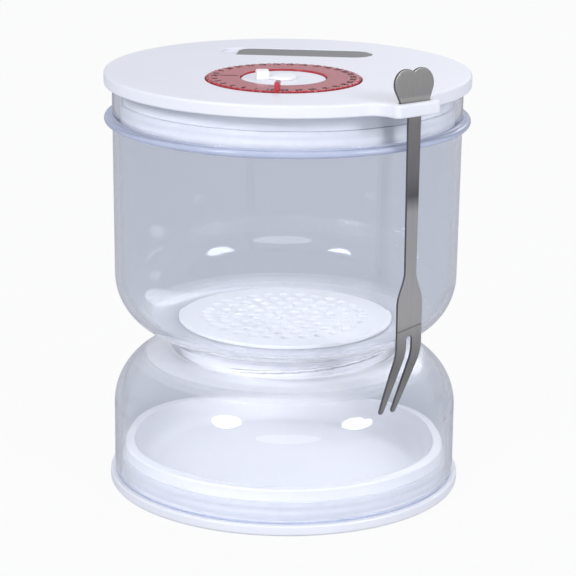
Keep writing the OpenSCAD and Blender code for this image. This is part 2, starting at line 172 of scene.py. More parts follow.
def closeMesh(mesh):  # welds seams and poles, drops spare points and turns faces outwards; counts open edges
    weld = bmesh.new()
    weld.from_mesh(mesh)
    bmesh.ops.remove_doubles(weld, verts=weld.verts, dist=weldMm * mm)
    loose = [v for v in weld.verts if not v.link_faces]
    bmesh.ops.delete(weld, geom=loose, context="VERTS")
    bmesh.ops.recalc_face_normals(weld, faces=weld.faces)
    openEdges = sum(not e.is_manifold for e in weld.edges)
    weld.to_mesh(mesh)
    weld.free()
    return openEdges


def coat(mesh, material, others):  # others: (material, test), a test picks faces by middle in mm and normal
    mesh.materials.append(material)
    middles, normals = np.zeros((2, len(mesh.polygons), 3))
    mesh.polygons.foreach_get("center", middles.ravel())
    mesh.polygons.foreach_get("normal", normals.ravel())
    chosen = np.zeros(len(mesh.polygons), int)
    for number, (other, test) in enumerate(others, 1):
        mesh.materials.append(other)
        chosen[test(middles / mm, normals)] = number
    mesh.polygons.foreach_set("material_index", chosen)


# Puts surfaces into one closed mesh and makes it a piece of the object.
def putPiece(name, parts, material, body, nodes, sharp=38, others=()):
    firsts = np.cumsum([0] + [len(verts) for verts, faces in parts])
    faces = [f for (verts, quads), first in zip(parts, firsts) for f in (quads + first).tolist()]
    mesh = bpy.data.meshes.new(name)
    mesh.from_pydata(np.concatenate([verts for verts, quads in parts]) * mm, [], faces)
    openEdges = closeMesh(mesh)
    mesh.shade_smooth()
    mesh.set_sharp_from_angle(angle=math.radians(sharp))
    coat(mesh, material, others)
    piece = bpy.data.objects.new(name, mesh)
    bpy.context.scene.collection.objects.link(piece)
    piece.modifiers.new("flatFaces", "WEIGHTED_NORMAL").keep_sharp = True
    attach(piece, body)
    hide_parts(*nodes)
    print("piece", name, len(mesh.polygons), "faces,", openEdges, "open edges")


# materials

def linear(text):  # sRGB hex to linear colour
    c = np.array([int(text[i:i + 2], 16) for i in (1, 3, 5)]) / 255
    c = np.where(c <= 0.04045, c / 12.92, ((c + 0.055) / 1.055) ** 2.4)
    return (*c.tolist(), 1.0)


def setSockets(tree, node, inputs):  # links a socket that is given another one, and sets any other value
    for key, value in inputs.items():
        if isinstance(value, bpy.types.NodeSocket):
            tree.links.new(value, node.inputs[key])
        else:
            node.inputs[key].default_value = value


def addNode(tree, kind, inputs=None, **settings):  # a node with its settings, values and links
    node = tree.nodes.new(kind)
    for key, value in settings.items():
        setattr(node, key, value)
    setSockets(tree, node, inputs or {})
    return node


def newMaterial(name):  # an empty material with its Principled shader and its Object coordinates
    made = bpy.data.materials.new(name)
    made.use_nodes = True
    tree = made.node_tree
    shader = tree.nodes["Principled BSDF"]
    place = addNode(tree, "ShaderNodeTexCoord").outputs["Object"]
    return made, tree, shader, place


def perMm(size):  # noise scale for features of that size in millimetres
    return 1 / (size * mm)


# Two close tones of one colour, mixed by a soft noise whose patches have that size; gives back the noise.
def twoTones(tree, shader, place, look, size, detail=3):
    noise = addNode(tree, "ShaderNodeTexNoise", {"Vector": place, "Scale": perMm(size), "Detail": detail})
    tones = {"Factor": noise.outputs["Fac"], "A": linear(look["pale"]), "B": linear(look["deep"])}
    tone = addNode(tree, "ShaderNodeMix", tones, data_type="RGBA")
    setSockets(tree, shader, {"Base Color": tone.outputs["Result"]})
    return noise.outputs["Fac"]


def grained(tree, shader, height, strength, depthMm):  # raises the surface by a pattern
    raised = {"Height": height, "Strength": strength, "Distance": depthMm * mm}
    bump = addNode(tree, "ShaderNodeBump", raised)
    setSockets(tree, shader, {"Normal": bump.outputs["Normal"]})


def dulled(tree, shader, pattern, least, most):  # roughness that follows a pattern
    rough = addNode(tree, "ShaderNodeMapRange", {"Value": pattern, "To Min": least, "To Max": most})
    setSockets(tree, shader, {"Roughness": rough.outputs["Result"]})


# Injection-moulded polypropylene: satin, a little cloudy, with the faint grain of a blasted mould.
whiteLook = {"pale": "#ECEDF3", "deep": "#E6E8EF", "cloudMm": 30, "grainMm": 0.7, "grain": 0.25,
             "grainDepthMm": 0.012, "rough": (0.34, 0.46), "ior": 1.49, "specular": 0.4}
plugLook = {**whiteLook, "pale": "#EDEDF1", "deep": "#E8E9EE"}  # a paler, less blue copy of the white for the base plug and strainer: painted light for the dim inside of the jar


def whitePolypropylene(name="whitePolypropylene", look=whiteLook):
    made, tree, shader, place = newMaterial(name)
    twoTones(tree, shader, place, look, look["cloudMm"], 2)
    speckle = {"Vector": place, "Scale": perMm(look["grainMm"]), "Detail": 3}
    grain = addNode(tree, "ShaderNodeTexNoise", speckle).outputs["Fac"]
    grained(tree, shader, grain, look["grain"], look["grainDepthMm"])
    dulled(tree, shader, grain, *look["rough"])
    setSockets(tree, shader, {"IOR": look["ior"], "Specular IOR Level": look["specular"]})
    return made


def lampsThrough(tree, shader):  # lamps shine straight through, so what stands inside is lit as outside
    rays = addNode(tree, "ShaderNodeLightPath")
    through = addNode(tree, "ShaderNodeBsdfTransparent", {"Color": (1, 1, 1, 1)})
    mixed = addNode(tree, "ShaderNodeMixShader", {0: rays.outputs["Is Shadow Ray"], 1: shader.outputs[0],
                                                  2: through.outputs[0]})
    setSockets(tree, tree.nodes["Material Output"], {"Surface": mixed.outputs[0]})


# Clear styrene: polished mould, a faint blue through its two walls.
clearLook = {"face": "#F5F7FB", "flowMm": 16, "flow": 0.2, "flowDepthMm": 0.02, "ior": 1.46, "rough": 0.02}


def clearStyrene(name="clearStyrene", look=clearLook):
    made, tree, shader, place = newMaterial(name)
    setSockets(tree, shader, {"Base Color": linear(look["face"]), "Transmission Weight": 1,
                              "IOR": look["ior"], "Roughness": look["rough"]})
    ripple = {"Vector": place, "Scale": perMm(look["flowMm"]), "Detail": 1}
    flow = addNode(tree, "ShaderNodeTexNoise", ripple)
    grained(tree, shader, flow.outputs["Fac"], look["flow"], look["flowDepthMm"])
    lampsThrough(tree, shader)
    return made


# The rim of a clear moulding: a painted glow, a milky blue colour standing in for light that ran along
# inside the wall and leaves it here.
rimLook = {"pale": "#CCD3E8", "deep": "#B8C3E0", "streakMm": 9, "clear": 0.35, "ior": 1.46, "rough": 0.14}
neckLook = {**rimLook, "pale": "#FBFCFF", "deep": "#F1F3FB", "streakMm": 5, "clear": 0.15}  # painted glare: the threaded neck is drawn nearly opaque white
hazeLook = {**neckLook, "clear": 0.6}  # painted glare, next to the neck
mistLook = {**neckLook, "clear": 0.85}  # fainter painted glare, a little further from it


def styreneRim(name="styreneRim", look=rimLook):
    made, tree, shader, place = newMaterial(name)
    twoTones(tree, shader, place, look, look["streakMm"], 1)
    setSockets(tree, shader, {"Transmission Weight": look["clear"], "IOR": look["ior"],
                              "Roughness": look["rough"]})
    lampsThrough(tree, shader)
    return made


# Moulded silicone: matt, milky, with a dusty skin.
siliconeLook = {"pale": "#DCDEE5", "deep": "#D3D5DD", "dustMm": 2.5, "rough": (0.45, 0.62), "ior": 1.41,
                "scatter": 0.15, "scatterMm": 2}
ventLook = {**siliconeLook, "pale": "#F7F7FA", "deep": "#F0F1F6"}  # the vent plug is a white silicone


def milkySilicone(name="milkySilicone", look=siliconeLook):
    made, tree, shader, place = newMaterial(name)
    dulled(tree, shader, twoTones(tree, shader, place, look, look["dustMm"], 4), *look["rough"])
    setSockets(tree, shader, {"IOR": look["ior"], "Subsurface Weight": look["scatter"],
                              "Subsurface Radius": (look["scatterMm"] * mm,) * 3})
    return made


# Red acrylic: polished and see-through, so that the white pocket under it lights it up.
redLook = {"pale": "#E65662", "deep": "#D84550", "swirlMm": 6, "clear": 0.55, "ior": 1.49, "rough": 0.16}


def redAcrylic(name="redAcrylic", look=redLook):
    made, tree, shader, place = newMaterial(name)
    twoTones(tree, shader, place, look, look["swirlMm"], 2)
    setSockets(tree, shader, {"Transmission Weight": look["clear"], "IOR": look["ior"],
                              "Roughness": look["rough"]})
    return made


# Grey plastic with a fine spark-eroded grain that kills its gloss.
greyLook = {"pale": "#888887", "deep": "#818180", "grainMm": 0.5, "grain": 0.3, "grainDepthMm": 0.02,
            "rough": 0.6, "specular": 0.25}


def greyPlastic(name="grainedGreyPlastic", look=greyLook):
    made, tree, shader, place = newMaterial(name)
    grain = twoTones(tree, shader, place, look, look["grainMm"])
    grained(tree, shader, grain, look["grain"], look["grainDepthMm"])
    setSockets(tree, shader, {"Roughness": look["rough"], "Specular IOR Level": look["specular"]})
    return made


# Printed ink: thin, dull, a little uneven where the pad lifted.
inkLook = {"pale": "#3A0A0E", "deep": "#260508", "patchMm": 0.8, "rough": 0.5}


def padPrintInk(name="padPrintInk", look=inkLook):
    made, tree, shader, place = newMaterial(name)
    twoTones(tree, shader, place, look, look["patchMm"], 2)
    setSockets(tree, shader, {"Roughness": look["rough"]})
    return made


# Stainless sheet: brushed along its length, so streaks run up and down the fork and gloss spreads across.
# Their brightness is painted by height: a painted reflection, bright on the blade and dark on the tines, a
# painted shadow under the holder and a painted highlight above the heart's base.
# A real brush line is about 0.1 mm wide; it is drawn at 0.4 mm so that it shows.
steelLook = {"pale": "#C4C2BE", "deep": "#B2B0AC", "lineMm": 0.4, "lineLengthMm": 14, "line": 0.15,
             "lineDepthMm": 0.01, "rough": (0.3, 0.44),
             "bands": ((42, 0.6), (50, 0.63), (58, 0.55), (62, 0.54), (66, 0.61), (72, 0.73), (78, 0.98),
                       (86, 1), (104, 0.92), (118, 0.92), (124, 0.28), (132, 0.44), (150, 0.54), (157, 0.7),
                       (158.4, 0.95), (159.2, 0.7), (168, 0.76)),  # height in mm and painted brightness
             "crease": {"normal": (-0.12, -0.11, 1), "at": 76.3, "half": 0.45, "dark": 0.55}}  # painted shade along the bend line, in mm


def heightBands(tree, place, bands):  # painted light and shade that changes along the height, straight between the bands
    least, most = bands[0][0], bands[-1][0]
    rise = addNode(tree, "ShaderNodeSeparateXYZ", {"Vector": place}).outputs["Z"]
    span = {"Value": rise, "From Min": least * mm, "From Max": most * mm}
    rise = addNode(tree, "ShaderNodeMapRange", span)
    ramp = addNode(tree, "ShaderNodeValToRGB", {"Fac": rise.outputs["Result"]})
    stops = ramp.color_ramp.elements
    for height, share in bands:
        spot = (height - least) / (most - least)
        stop = stops[0] if spot == 0 else stops[-1] if spot == 1 else stops.new(spot)
        stop.color = (share, share, share, 1)
    return ramp.outputs["Color"]


def creaseLine(tree, place, crease):  # how dark the painted shade of the bend line is: most on its plane, fading to both sides
    slant = addNode(tree, "ShaderNodeVectorMath", {0: place, 1: crease["normal"]}, operation="DOT_PRODUCT")
    height = {0: slant.outputs["Value"], 1: crease["at"] * mm}
    away = addNode(tree, "ShaderNodeMath", height, operation="SUBTRACT")
    away = addNode(tree, "ShaderNodeMath", {0: away.outputs[0]}, operation="ABSOLUTE")
    near = addNode(tree, "ShaderNodeMapRange", {"Value": away.outputs[0], "From Max": crease["half"] * mm,
                                                "To Min": crease["dark"], "To Max": 0})
    return near.outputs["Result"]


def brushedStainless(name="brushedStainless", look=steelLook):
    made, tree, shader, place = newMaterial(name)
    stretch = look["lineMm"] / look["lineLengthMm"]
    along = addNode(tree, "ShaderNodeMapping", {"Vector": place, "Scale": (1, 1, stretch)})
    lines = twoTones(tree, shader, along.outputs["Vector"], look, look["lineMm"], 4)
    dulled(tree, shader, lines, *look["rough"])
    grained(tree, shader, lines, look["line"], look["lineDepthMm"])
    # the brushed colour times the painted light and shade by height
    tones = {"Factor": 1.0, "A": shader.inputs["Base Color"].links[0].from_socket,
             "B": heightBands(tree, place, look["bands"])}
    shaded = addNode(tree, "ShaderNodeMix", tones, data_type="RGBA", blend_type="MULTIPLY")
    # painted shade darkens the colour along the slanted bend line
    tones = {"Factor": creaseLine(tree, place, look["crease"]), "A": shaded.outputs["Result"],
             "B": (0, 0, 0, 1)}
    lined = addNode(tree, "ShaderNodeMix", tones, data_type="RGBA")
    setSockets(tree, shader, {"Base Color": lined.outputs["Result"], "Metallic": 1})
    return made


# The sheet's sheared edge: torn metal, duller than the faces, and painted darker as the shade the side faces
# reflect.
shearLook = {"pale": "#77777A", "deep": "#5E5E61", "tearMm": 0.5, "tear": 0.3, "tearDepthMm": 0.02,
             "rough": 0.5}


def shearedEdge(name="shadedShearedStainless", look=shearLook):
    made, tree, shader, place = newMaterial(name)
    tears = twoTones(tree, shader, place, look, look["tearMm"])
    grained(tree, shader, tears, look["tear"], look["tearDepthMm"])
    setSockets(tree, shader, {"Roughness": look["rough"], "Metallic": 1})
    return made


white = whitePolypropylene()
pureWhite = whitePolypropylene("litPolypropylene", plugLook)
clear = clearStyrene()
rimGlow = styreneRim()
neckMilk = styreneRim("styreneNeckGlare", neckLook)
haze = styreneRim("styreneGlareHaze", hazeLook)
mist = styreneRim("styreneGlareMist", mistLook)
silicone = milkySilicone()
whiteSilicone = milkySilicone("whiteSilicone", ventLook)
red = redAcrylic()
grey = greyPlastic()
ink = padPrintInk()
steel = brushedStainless()
sheared = shearedEdge()
print("materials made")


# base: plate, dished plug and seal

base = {"footWidth": 7, "footEdge": 1.2, "recess": 1.2, "recessEdge": 0.4, "topEdge": 0.8}
low, high = cadMm("base_plate")
plateR, plateTop = high[0], high[2]
footIn = plateR - base["footEdge"] - base["footWidth"]
recess, edge = base["recess"], base["recessEdge"]
profile = path([0, recess], arc(footIn - edge, recess - edge, edge, 90, 0, 4),
               roundCorner(footIn, 0, edge, 180, 4), roundCorner(plateR, 0, base["footEdge"], 270, 8),
               roundCorner(plateR, plateTop, base["topEdge"], 0, 8), [0, plateTop])
basePlate = turned(fine(profile, longRow, False), closed=False)
putPiece("basePlate", [basePlate], white, "base", ["base_plate"])

plug = {"groove": 1.2, "grooveFrom": 1.5, "grooveEdge": 0.2, "sealHeight": 6, "dishRadius": 10, "floor": 2,
        "wall": 2.6, "edge": 0.6, "dishSteps": 20}
low, high = cadMm("base_plug")
plugR, plugTop, plugFoot = high[0], high[2], low[2]
grooveR, grooveEdge = plugR - plug["groove"], plug["grooveEdge"]
dishR = grooveR - plug["wall"]
sealLow = plateTop + plug["grooveFrom"]
sealHigh = sealLow + plug["sealHeight"]
dishFloor = plugFoot + plug["floor"]
dishTop = dishFloor + plug["dishRadius"]
profile = path([0, plugFoot], roundCorner(plugR, plugFoot, grooveEdge, 270),
               roundCorner(plugR, sealLow, grooveEdge, 0), [grooveR, sealLow], [grooveR, sealHigh],
               roundCorner(plugR, sealHigh, grooveEdge, 270),
               roundCorner(plugR, plugTop, plug["edge"], 0, 8),
               roundCorner(dishR, plugTop, plug["edge"], 90, 8),
               arc(dishR - plug["dishRadius"], dishTop, plug["dishRadius"], 0, -90, plug["dishSteps"]),
               [0, dishFloor])
basePlug = turned(fine(profile, longRow, False), closed=False)
putPiece("basePlug", [basePlug], pureWhite, "base", ["base_plug"])

sealShape = {"lips": 2, "lip": 0.12, "gap": 0.1, "steps": 40}


def sealProfile(node):  # a ring with soft lips: its outer face is a raised cosine with one wave per lip
    low, high = cadMm(node)
    share = np.linspace(0, 1, sealShape["steps"] + 1)
    wave = (1 + np.cos(2 * np.pi * sealShape["lips"] * share)) / 2
    face = np.stack([high[0] - sealShape["lip"] * wave,
                     low[2] + hair + (high[2] - low[2] - 2 * hair) * share], 1)
    inner = grooveR + sealShape["gap"]
    return path([inner, face[0, 1]], face, [inner, face[-1, 1]])


putPiece("baseSeal", [turned(sealProfile("base_seal"))], silicone, "base", ["base_seal"])


# clear chambers with their threads

chamber = {"wall": 2.4, "bend": 22, "seat": 0.05, "rim": 0.35, "collar": 5.5, "fillet": 0.9,
           "filletSink": 0.03, "innerEdge": 0.6, "outerArc": 87, "innerArc": 88, "rowMm": 4, "steps": 360,
           "sharp": 50, "glowMm": 1, "glowLip": 0.15, "glareHazeMm": 2.4, "glareMistMm": 5, "neckPast": 0.2,
           "neckUnder": 0.1, "bendSteps": 40}
thread = {"lead": 12, "starts": 3, "height": 1, "half": 0.75, "crest": 0.3, "span": 108, "fade": 18,
          "rise": 3, "drop": 2, "rowMm": 0.3}


# A thread ridge climbs lead * angle / 360 from its start, rises smoothly to its crest and fades at its ends.
def threadRidges(onRadius, startZ, side):
    def bulge(r, z, angle):
        degrees = np.degrees(angle)
        height = 0 * z
        for start in range(thread["starts"]):
            a = (degrees - 360 * start / thread["starts"]) % 360
            away = np.abs(z - startZ - thread["lead"] * a / 360)
            rise = np.clip((thread["half"] - away) / (thread["half"] - thread["crest"]), 0, 1)
            fade = np.clip(np.minimum(a, thread["span"] - a) / thread["fade"], 0, 1)
            height += rise * rise * (3 - 2 * rise) * fade
        return side * thread["height"] * np.clip(height, 0, 1) * (np.abs(r - onRadius) < hair)
    return bulge


def threadWall(radius, fromZ, toZ):  # a straight wall in rows close enough for the ridges, without its ends
    return fine(np.array([[radius, fromZ], [radius, toZ]]), thread["rowMm"], False)[1:-1]


def isNeck(at, normals):  # faces of the threaded neck, collar and spigot alike
    within = np.hypot(at[:, 0], at[:, 1]) < collarR + chamber["neckPast"]
    return within & (at[:, 2] < bowlZ - chamber["neckUnder"])


low, high = cadMm("lower_jar")
gasketLow, gasketHigh = cadMm("waist_gasket")
wallT, bend, rim = chamber["wall"], chamber["bend"], chamber["rim"]
fillet, innerEdge = chamber["fillet"], chamber["innerEdge"]
jarR, jarFoot, collarTop = high[0], low[2] + chamber["seat"], high[2] - chamber["seat"]
jarIn = jarR - wallT
collarR = jarR - bend
collarIn = collarR - wallT
shoulderTop = gasketLow[2] - chamber["collar"]
shoulderIn = shoulderTop - wallT
bowlZ = gasketHigh[2] + chamber["seat"]
bendZ = shoulderTop - bend
threadZ = shoulderIn + thread["rise"]
profile = path(roundCorner(jarR, jarFoot, rim, 270),
               arc(collarR, bendZ, bend, 0, chamber["outerArc"], chamber["bendSteps"]),
               arc(collarR + fillet, shoulderTop + fillet - chamber["filletSink"], fillet, 270, 180, 5),
               roundCorner(collarR, collarTop, rim, 0), roundCorner(collarIn, collarTop, rim, 90),
               threadWall(collarIn, collarTop - rim, shoulderIn + innerEdge),
               roundCorner(collarIn, shoulderIn, innerEdge, 180, 4),
               arc(collarR, bendZ, bend - wallT, chamber["innerArc"], 0, chamber["bendSteps"]),
               roundCorner(jarIn, jarFoot, rim, 180))
ridges = threadRidges(collarIn, threadZ, -1)
lowerChamber = turned(fine(profile, chamber["rowMm"]), chamber["steps"], bulge=ridges)
# painted glow at the foot, painted glare on the top of the shoulder and on the collar
putPiece("lowerChamber", [lowerChamber], clear, "lower_chamber", ["lower_jar"],
         chamber["sharp"],
         [(rimGlow, lambda at, normals: at[:, 2] < jarFoot + chamber["glowMm"]),
          (mist, lambda at, normals: at[:, 2] > shoulderTop - chamber["glareMistMm"]),
          (haze, lambda at, normals: at[:, 2] > shoulderTop - chamber["glareHazeMm"]), (mist, isNeck)])

gasket = {"inside": 1.1, "round": 0.35}
gasketIn, gasketOut = collarIn - gasket["inside"], gasketHigh[0]
gasketHeight = gasketHigh[2] - gasketLow[2] - 2 * chamber["seat"]
gasketMiddle = ((gasketIn + gasketOut) / 2, (gasketLow[2] + gasketHigh[2]) / 2)
profile = oblong(gasketOut - gasketIn, gasketHeight, gasket["round"], gasketMiddle, 4)
putPiece("waistGasket", [turned(profile)], silicone, "gasket", ["waist_gasket"])

upper = {"draft": 0.5, "spigotGap": 1.4, "fillet": 0.5, "flangeThickness": 2.4, "flangeUnderMouth": 11.5,
         "flangeFillet": 0.8, "flangeStep": 0.1, "flangeSteps": 16, "bendSteps": 48}
low, high = cadMm("upper_jar")
floorZ = bowlZ + wallT
spigotFoot, mouthZ = low[2], high[2] - chamber["seat"]
spigotR = collarIn - upper["spigotGap"]
spigotIn = spigotR - wallT
bendR = jarR - upper["draft"]
bowlC = bendR - bend
bowlBend = bowlZ + bend
flangeHalf = upper["flangeThickness"] / 2
flangeR = high[0] - flangeHalf
flangeZ = mouthZ - upper["flangeUnderMouth"] - flangeHalf
wallAt = bendR + (jarR - bendR) * (flangeZ - bowlBend) / (mouthZ - bowlBend)
fillet, joint = upper["fillet"], upper["flangeFillet"]
profile = path(roundCorner(spigotR, spigotFoot, rim, 270),
               threadWall(spigotR, spigotFoot + rim, bowlZ - fillet),
               arc(spigotR + fillet, bowlZ - fillet, fillet, 180, 90, 4),
               arc(bowlC, bowlBend, bend, 270, 360, upper["bendSteps"]),
               arc(wallAt + joint, flangeZ - flangeHalf - joint, joint, 180, 90, 4),
               arc(flangeR, flangeZ, flangeHalf, 270, 450, upper["flangeSteps"]),
               arc(wallAt + joint + upper["flangeStep"], flangeZ + flangeHalf + joint, joint, 270, 180, 4),
               roundCorner(jarR, mouthZ, rim, 0), roundCorner(jarIn, mouthZ, rim, 90),
               arc(bowlC, bowlBend, bend - wallT, 0, -90, upper["bendSteps"]), [spigotIn + fillet, floorZ],
               roundCorner(spigotIn, floorZ, fillet, 90, 4), roundCorner(spigotIn, spigotFoot, rim, 180))
ridges = threadRidges(spigotR, threadZ - thread["drop"], 1)
upperChamber = turned(fine(profile, chamber["rowMm"]), chamber["steps"], bulge=ridges)
# painted glow on the flange, painted glare on the bowl's floor and on the spigot
putPiece("upperChamber", [upperChamber], clear, "upper_chamber", ["upper_jar"],
         chamber["sharp"],
         [(rimGlow, lambda at, normals: np.hypot(at[:, 0], at[:, 1]) > jarR + chamber["glowLip"]),
          (mist, lambda at, normals: at[:, 2] < bowlZ + chamber["glareMistMm"]),
          (haze, lambda at, normals: at[:, 2] < bowlZ + chamber["glareHazeMm"]), (neckMilk, isNeck)])


# strainer: a plate with rings of holes, 6 more in each ring, over a centring skirt

sieve = {"plate": 1.6, "skirt": 1.6, "skirtGap": 0.3, "skirtEdge": 0.3, "hole": 4, "holeSteps": 20,
         "pitch": 6, "rings": 5, "topEdge": 0.5, "softEdge": 0.25, "steps": 192}
low, high = cadMm("strainer")
sieveR, sieveTop, skirtFoot = high[0], high[2], low[2]
sieveLow = sieveTop - sieve["plate"] + chamber["seat"]
skirtR = spigotIn - sieve["skirtGap"]
skirtIn = skirtR - sieve["skirt"]
soft, skirtEdge, skirtT = sieve["softEdge"], sieve["skirtEdge"], sieve["skirt"]
holeLoop = circle(sieve["hole"] / 2, sieve["holeSteps"])
holes = [holeLoop]
for ring in range(1, sieve["rings"] + 1):
    turns = np.radians(np.arange(6 * ring) * 60 / ring)
    middles = ring * sieve["pitch"] * np.stack([np.cos(turns), np.sin(turns)], 1)
    holes += [holeLoop + middle for middle in middles]
mouths = [inset(hole, -soft) for hole in holes]
disc = circle(1, sieve["steps"])
skirtRows = [(0, sieveLow), (0, skirtFoot + skirtEdge), (skirtEdge, skirtFoot),
             (skirtT - skirtEdge, skirtFoot), (skirtT, skirtFoot + skirtEdge), (skirtT, sieveLow)]
parts = [wall(disc * sieveR, roundEdge(sieveLow, sieveTop, soft, sieve["topEdge"])),
         cap([disc * (sieveR - sieve["topEdge"])] + mouths, sieveTop),
         cap([disc * (sieveR - soft), disc * skirtR], sieveLow), cap([disc * skirtIn] + mouths, sieveLow),
         wall(disc * skirtR, skirtRows)]
parts += [wall(hole, roundEdge(sieveLow, sieveTop, soft, soft, 3) * [-1, 1]) for hole in holes]
putPiece("strainerDisc", parts, pureWhite, "strainer", ["strainer"])


# lid plate: a disc that fillets into the fork holder, with dial pocket, grip recess, fork slot and vent hole

lid = {"radius": 67.5, "topEdge": 1, "lowEdge": 0.8, "softEdge": 0.35, "forkAngle": 42, "forkOut": 4.8,
       "slot": (2.1, 12.2), "seat": (2.2, 14), "seatDepth": 0.8, "slotCorner": 0.3,
       "holderWall": 2.1, "holderSide": 3.9, "holderCorner": 2, "holderFillet": 8,
       "dialOffset": 17.5, "pocketR": 28.4, "pocketDepth": 2.2, "ventR": 2.5,
       "gripOffset": 36, "gripSize": (58, 15), "gripDepth": 1.6, "floorFillet": 0.5,
       "rimSteps": 240, "filletSteps": 14, "pocketSteps": 128, "ventSteps": 40, "gripSteps": 28}
low, high = cadMm("lid_plate")
lidLow, lidTop, lidR = low[2], high[2], lid["radius"]
forkR = lidR + lid["forkOut"]
holderHalf = lid["slot"][1] / 2 + lid["holderSide"]
holderR = forkR + lid["seat"][0] / 2 + lid["holderWall"]
holderTurn = lid["forkAngle"] - 90
fillet, holderCorner = lid["holderFillet"], lid["holderCorner"]
filletSteps, gripSteps = lid["filletSteps"], lid["gripSteps"]
filletY = holderHalf + fillet
filletX = math.sqrt((lidR + fillet) ** 2 - filletY ** 2)
rimAngle = math.degrees(math.atan2(filletY, filletX))
outline = path(arc(0, 0, lidR, rimAngle, 360 - rimAngle, lid["rimSteps"]),
               arc(filletX, -filletY, fillet, 180 - rimAngle, 90, filletSteps)[1:],
               arc(holderR - holderCorner, holderCorner - holderHalf, holderCorner, -90, 0, 8),
               arc(holderR - holderCorner, holderHalf - holderCorner, holderCorner, 0, 90, 8),
               arc(filletX, filletY, fillet, 270, 180 + rimAngle, filletSteps)[:-1])
outline = spun(outline, holderTurn)
forkSlot = spun(oblong(*lid["slot"], lid["slotCorner"], (forkR, 0), 4), holderTurn)
forkSeat = spun(oblong(*lid["seat"], lid["slotCorner"], (forkR, 0), 4), holderTurn)
seatZ = lidTop - lid["seatDepth"]
dialAt = np.array([0, -lid["dialOffset"]])
ventR = lid["ventR"]
pocket = circle(lid["pocketR"], lid["pocketSteps"], dialAt)
ventHole = circle(ventR, lid["ventSteps"], dialAt)
gripW, gripY = lid["gripSize"][1], lid["gripOffset"]
gripHalf = (lid["gripSize"][0] - gripW) / 2
grip = path(arc(gripHalf, gripY, gripW / 2, -90, 90, gripSteps),
            arc(-gripHalf, gripY, gripW / 2, 90, 270, gripSteps))
pocketZ, gripZ = lidTop - lid["pocketDepth"], lidTop - lid["gripDepth"]
softEdge, floorFillet = lid["softEdge"], lid["floorFillet"]


def recessRows(floor):  # rows of a wall that fillets into its floor and rounds over at the top
    return path(arc(floorFillet, floor + floorFillet, floorFillet, 270, 180, 4),
                arc(-softEdge, lidTop - softEdge, softEdge, 0, 90, 5))


topHoles = [inset(hole, -softEdge) for hole in (forkSeat, pocket, grip)]
parts = [wall(outline, roundEdge(lidLow, lidTop, lid["lowEdge"], lid["topEdge"], 8)),
         wall(forkSlot, roundEdge(lidLow, seatZ, softEdge, 0) * [-1, 1]),
         wall(forkSeat, roundEdge(seatZ, lidTop, 0, softEdge) * [-1, 1]), cap([forkSeat, forkSlot], seatZ),
         wall(pocket, recessRows(pocketZ)), wall(grip, recessRows(gripZ)),
         wall(ventHole, [(0, lidLow), (0, pocketZ)]),
         cap([inset(outline, lid["topEdge"])] + topHoles, lidTop),
         cap([inset(pocket, floorFillet), ventHole], pocketZ), cap([inset(grip, floorFillet)], gripZ),
         cap([inset(outline, lid["lowEdge"]), inset(forkSlot, -softEdge), ventHole], lidLow)]
putPiece("lidPlate", parts, white, "lid", ["lid_plate"])

lidPlug = {"innerEdge": 0.5, "footEdge": 0.3}
low, high = cadMm("lid_plug")
plugFoot, plugTop = low[2], high[2]
sealLow, sealHigh = (box[2] for box in cadMm("lid_seal"))
profile = path(roundCorner(dishR, plugFoot, lidPlug["innerEdge"], 180, 4),
               roundCorner(plugR, plugFoot, lidPlug["footEdge"], 270, 4),
               roundCorner(plugR, sealLow, grooveEdge, 0), [grooveR, sealLow], [grooveR, sealHigh],
               roundCorner(plugR, sealHigh, grooveEdge, 270), [plugR, plugTop], [dishR, plugTop])
putPiece("lidPlug", [turned(profile)], white, "lid", ["lid_plug"])
putPiece("lidSeal", [turned(sealProfile("lid_seal"))], silicone, "lid", ["lid_seal"])

inlay = {"gap": 0.12, "corner": 6, "edge": 0.2, "tipR": 0.6, "tipUp": 1.2, "tipEnd": 250, "cornerSteps": 10}
low, high = cadMm("grip_inlay")
inlayHalf = gripW / 2 - inlay["gap"]
endX = low[0]
outline = path(arc(gripHalf, gripY, inlayHalf, -90, 90, gripSteps),
               roundCorner(endX, gripY + inlayHalf, inlay["corner"], 90, inlay["cornerSteps"]),
               arc(endX + inlay["tipR"], gripY - inlayHalf + inlay["tipUp"], inlay["tipR"], 180,
                   inlay["tipEnd"], 5))
putPiece("gripInlay", slab(outline, low[2] + hair, high[2], 0, inlay["edge"]), grey, "lid", ["grip_inlay"])


# dial: hub, ring, numbers and vent plug

dial = {"hubR": 15.4, "hubLip": 1.8, "hubSteps": 160, "ringR": 27.8, "ringRise": 0.5, "ringLift": 0.3,
        "ringLip": 1.6, "days": 31, "edge": 0.4, "innerEdge": 0.2, "footEdge": 0.25, "ventEdge": 0.3,
        "runGap": 0.1, "looseGap": 0.3, "knurl": 0.7, "knurlFrom": 1.2, "knurlOver": 0.8, "notchSteps": 14,
        "rowMm": 1.2}
hubR, ringR = dial["hubR"], dial["ringR"]
hubNeck = hubR - dial["hubLip"]
ringLow, ringTop = pocketZ + dial["ringLift"], lidTop + dial["ringRise"]
lipTop = ringTop - dial["ringLip"]
hubTop = cadMm("dial_hub")[1][2]
hubUnder = lipTop + dial["looseGap"]
profile = path([ventR, pocketZ + hair], [hubNeck, pocketZ + hair], [hubNeck, hubUnder],
               roundCorner(hubR, hubUnder, dial["innerEdge"], 270),
               roundCorner(hubR, hubTop, dial["edge"], 0, 5),
               roundCorner(ventR, hubTop, dial["ventEdge"], 90, 4))
dialHub = turned(profile, dial["hubSteps"], centre=dialAt)
putPiece("dialHub", [dialHub], white, "lid", ["dial_hub"])


